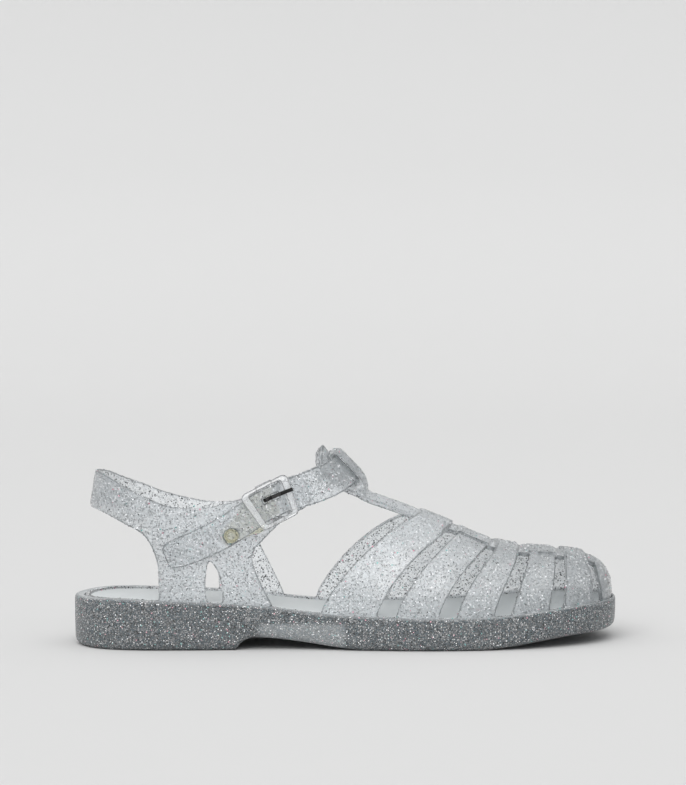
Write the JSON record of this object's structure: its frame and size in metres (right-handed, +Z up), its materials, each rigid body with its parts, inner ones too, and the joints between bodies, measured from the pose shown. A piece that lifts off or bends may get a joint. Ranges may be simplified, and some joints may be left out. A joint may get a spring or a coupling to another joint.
{
  "type": "sandal",
  "caption": "Flat moulded fisherman sandal in clear glitter plastic: woven cage toe, T-bar, ankle strap with clear buckle, chunky glitter sole; right shoe.",
  "frame": {"origin": "middle of the shoe's bounding box on the floor", "axes": "+X to the toe, -Y to the outer (buckle) side, +Z up"},
  "size_m": [0.26, 0.0928, 0.0938],
  "materials": {
    "glitter_sole": "dense silver glitter in soft plastic, satin gloss",
    "insole_satin": "satin",
    "glitter_clear": "clear soft plastic with silver glitter, satin gloss",
    "clear_plastic": "clear, polished",
    "loop_plastic": "clear, a little yellowed",
    "pin_steel": "polished wire"
  },
  "bodies": {
    "root": {"outsole": "glitter_sole", "insole": "insole_satin", "upper": "glitter_clear", "buckle_frame": "clear_plastic", "buckle_loop": "loop_plastic", "buckle_pin": "pin_steel", "loop_stud": "loop_plastic"}
  },
  "joints": []
}
